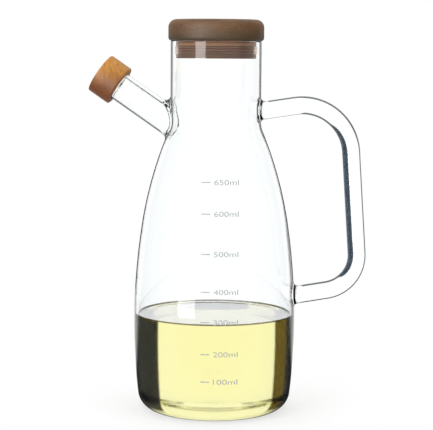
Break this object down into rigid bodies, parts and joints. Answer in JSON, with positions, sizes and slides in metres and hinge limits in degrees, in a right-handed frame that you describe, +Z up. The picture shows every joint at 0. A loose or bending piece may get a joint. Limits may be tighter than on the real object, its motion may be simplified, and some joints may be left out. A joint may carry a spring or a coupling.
{
  "type": "glass oil pourer",
  "caption": "Glass oil pourer with a rod handle, a slanted spout shut by a wooden knob, a wooden lid with a seal, and golden oil inside.",
  "frame": {"origin": "on the bottle's axis, at the level of the ring it stands on", "axes": "+Z up the bottle's axis, +X towards the handle, -X towards the spout"},
  "size_m": [0.1557, 0.09, 0.2182],
  "materials": {
    "glass": "clear polished",
    "oil": "clear liquid",
    "dark_wood": "satin oiled",
    "golden_wood": "satin oiled",
    "silicone": "translucent satin"
  },
  "bodies": {
    "root": {"glass_bottle": "glass", "oil": "oil", "lid": "dark_wood", "lid_seal": "silicone", "spout_knob": "golden_wood", "spout_plug": "silicone"}
  },
  "joints": []
}
